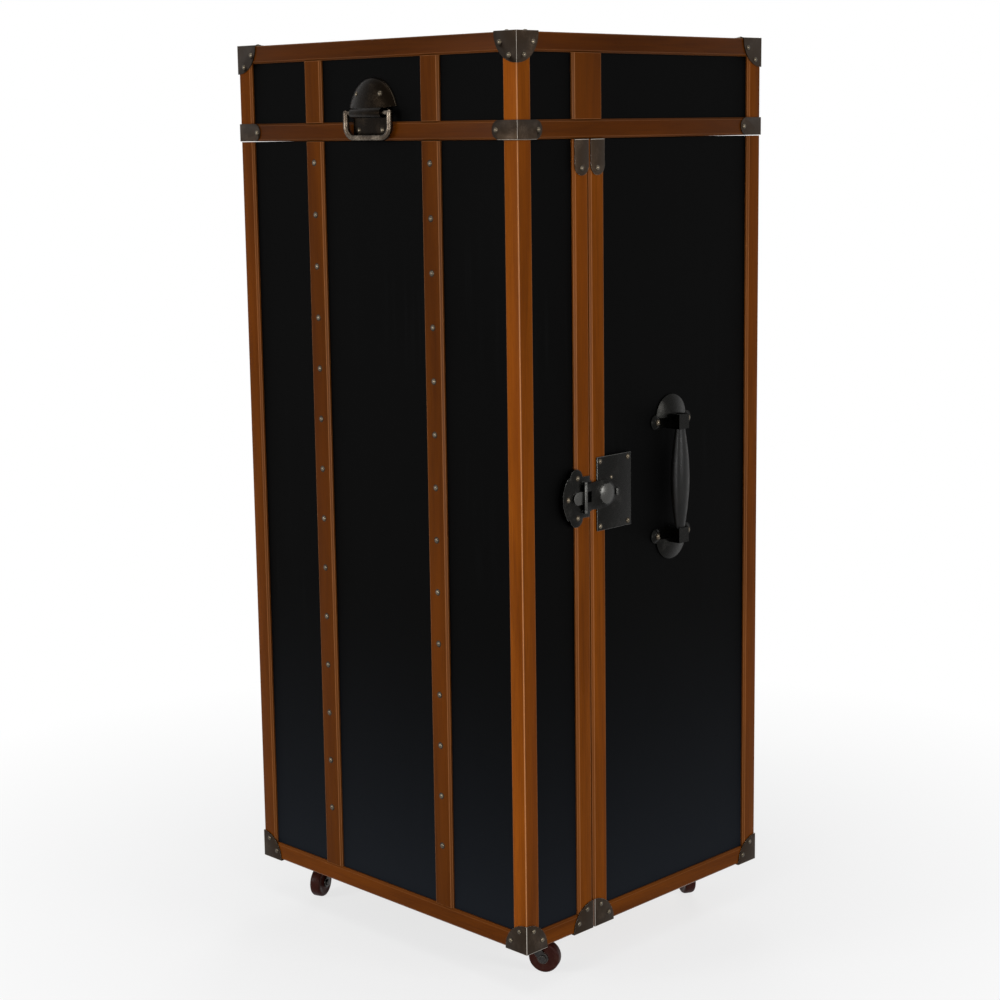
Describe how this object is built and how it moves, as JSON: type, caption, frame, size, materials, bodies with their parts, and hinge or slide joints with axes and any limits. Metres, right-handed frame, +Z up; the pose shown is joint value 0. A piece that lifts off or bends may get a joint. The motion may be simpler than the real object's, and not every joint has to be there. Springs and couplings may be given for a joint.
{
  "type": "desk trunk",
  "caption": "Upright travelling trunk on casters whose front opens as a door on a fall-front desk with pigeonholes and drawers, under a lifting lid with a drop handle.",
  "frame": {"origin": "on the floor under the centre of the bounding box", "axes": "+Z up, the door faces -Y, and the side with the latch is +X"},
  "size_m": [0.697, 0.5945, 1.4737],
  "materials": {
    "banding_wood": "satin lacquered honey brown wood",
    "panel_covering": "boards under a matte black covering",
    "inside_wood": "oiled wood",
    "corner_metal": "dark aged brass sheet",
    "rivet": "worn domed heads",
    "latch_metal": "blackened steel",
    "bail_metal": "dark cast bronze, worn bright on edges",
    "iron": "grey plated steel",
    "leather": "black leather",
    "desk_leather": "oxblood leather",
    "knob_brass": "turned brass",
    "wheel": "dark red brown moulded wheel"
  },
  "bodies": {
    "case": {"case_walls": "panel_covering", "case_floor": "inside_wood", "case_stiles": "banding_wood", "case_rails": "banding_wood", "case_brackets": "corner_metal", "case_rivets": "rivet", "desk_top": "inside_wood", "lid_tray": "inside_wood", "pigeonholes": "inside_wood", "drawer_dividers": "inside_wood", "case_caster_plates": "iron", "door_hinges_fixed": "corner_metal", "lid_hinges_fixed": "corner_metal", "lock_plate": "latch_metal", "handle_mounts": "latch_metal", "handle_grips": "leather", "leaf_hinges_fixed": "corner_metal"},
    "door": {"door_panel": "panel_covering", "door_walls": "panel_covering", "door_stiles": "banding_wood", "door_slats": "banding_wood", "door_rails": "banding_wood", "door_nails": "rivet", "door_brackets": "corner_metal", "door_rivets": "rivet", "door_shelves": "inside_wood", "door_hinges_moving": "corner_metal", "door_caster_plates": "iron", "catch_plate": "latch_metal"},
    "lid": {"lid_top_panel": "panel_covering", "lid_walls": "panel_covering", "lid_stiles": "banding_wood", "lid_rails": "banding_wood", "lid_brackets": "corner_metal", "lid_rivets": "rivet", "lid_hinges_moving": "corner_metal", "bail_plate": "bail_metal"},
    "bail": {"bail_ring": "bail_metal"},
    "hasp": {"hasp": "latch_metal"},
    "leaf": {"writing_leaf": "inside_wood", "leaf_leather": "desk_leather", "leaf_knob": "knob_brass", "leaf_hinges_moving": "corner_metal"},
    "left_loper": {"loper_left": "inside_wood"},
    "right_loper": {"loper_right": "inside_wood"},
    "drawer_1": {"drawer_1": "inside_wood", "drawer_1_knobs": "knob_brass"},
    "drawer_2": {"drawer_2": "inside_wood", "drawer_2_knobs": "knob_brass"},
    "drawer_3": {"drawer_3": "inside_wood", "drawer_3_knobs": "knob_brass"},
    "front_right_swivel": {"caster_front_right_fork": "iron"},
    "front_right_wheel": {"caster_front_right_wheel": "wheel"},
    "front_left_swivel": {"caster_front_left_fork": "iron"},
    "front_left_wheel": {"caster_front_left_wheel": "wheel"},
    "rear_right_swivel": {"caster_rear_right_fork": "iron"},
    "rear_right_wheel": {"caster_rear_right_wheel": "wheel"},
    "rear_left_swivel": {"caster_rear_left_fork": "iron"},
    "rear_left_wheel": {"caster_rear_left_wheel": "wheel"}
  },
  "joints": [
    {"name": "door_swing", "type": "hinge", "parent": "case", "child": "door", "pos_m": [-0.326, -0.128, 0.76], "axis": [0, 0, -1], "range_deg": [0, 135]},
    {"name": "lid_lift", "type": "hinge", "parent": "case", "child": "lid", "pos_m": [0, 0.29275, 1.315], "axis": [-1, 0, 0], "range_deg": [0, 95]},
    {"name": "bail_swing", "type": "hinge", "parent": "lid", "child": "bail", "pos_m": [0.005, -0.28935, 1.358], "axis": [-1, 0, 0], "range_deg": [0, 95]},
    {"name": "hasp_swing", "type": "hinge", "parent": "door", "child": "hasp", "pos_m": [0.329, -0.14855, 0.771], "axis": [0, 0, -1], "range_deg": [0, 150]},
    {"name": "leaf_fall", "type": "hinge", "parent": "case", "child": "leaf", "pos_m": [0, -0.10925, 0.74], "axis": [1, 0, 0], "range_deg": [0, 90]},
    {"name": "drawer_1_slide", "type": "slide", "parent": "case", "child": "drawer_1", "axis": [0, -1, 0], "range_m": [0, 0.26]},
    {"name": "drawer_2_slide", "type": "slide", "parent": "case", "child": "drawer_2", "axis": [0, -1, 0], "range_m": [0, 0.26]},
    {"name": "drawer_3_slide", "type": "slide", "parent": "case", "child": "drawer_3", "axis": [0, -1, 0], "range_m": [0, 0.26]},
    {"name": "left_loper_slide", "type": "slide", "parent": "case", "child": "left_loper", "axis": [0, -1, 0], "range_m": [0, 0.25]},
    {"name": "right_loper_slide", "type": "slide", "parent": "case", "child": "right_loper", "axis": [0, -1, 0], "range_m": [0, 0.25]},
    {"name": "front_right_swivel", "type": "hinge", "parent": "door", "child": "front_right_swivel", "pos_m": [0.248, -0.20175, 0.056], "axis": [0, 0, 1], "continuous": true},
    {"name": "front_right_spin", "type": "hinge", "parent": "front_right_swivel", "child": "front_right_wheel", "pos_m": [0.27227, -0.18991, 0.0254], "axis": [-0.4384, 0.8988, 0], "continuous": true},
    {"name": "front_left_swivel", "type": "hinge", "parent": "door", "child": "front_left_swivel", "pos_m": [-0.248, -0.20175, 0.056], "axis": [0, 0, 1], "continuous": true},
    {"name": "front_left_spin", "type": "hinge", "parent": "front_left_swivel", "child": "front_left_wheel", "pos_m": [-0.23789, -0.22678, 0.0254], "axis": [0.9272, 0.3746, 0], "continuous": true},
    {"name": "rear_right_swivel", "type": "hinge", "parent": "case", "child": "rear_right_swivel", "pos_m": [0.248, 0.20825, 0.056], "axis": [0, 0, 1], "continuous": true},
    {"name": "rear_right_spin", "type": "hinge", "parent": "rear_right_swivel", "child": "rear_right_wheel", "pos_m": [0.22416, 0.22093, 0.0254], "axis": [-0.4695, -0.8829, 0], "continuous": true},
    {"name": "rear_left_swivel", "type": "hinge", "parent": "case", "child": "rear_left_swivel", "pos_m": [-0.248, 0.20825, 0.056], "axis": [0, 0, 1], "continuous": true},
    {"name": "rear_left_spin", "type": "hinge", "parent": "rear_left_swivel", "child": "rear_left_wheel", "pos_m": [-0.27368, 0.19991, 0.0254], "axis": [0.309, -0.9511, 0], "continuous": true}
  ],
  "couplings": [
    {"joint": "leaf_fall", "follows": "door_swing", "ratio": 0.6666},
    {"joint": "drawer_1_slide", "follows": "door_swing", "m_per_rad": 0.1103},
    {"joint": "drawer_2_slide", "follows": "door_swing", "m_per_rad": 0.1103},
    {"joint": "drawer_3_slide", "follows": "door_swing", "m_per_rad": 0.1103},
    {"joint": "left_loper_slide", "follows": "door_swing", "m_per_rad": 0.106},
    {"joint": "right_loper_slide", "follows": "door_swing", "m_per_rad": 0.106}
  ]
}
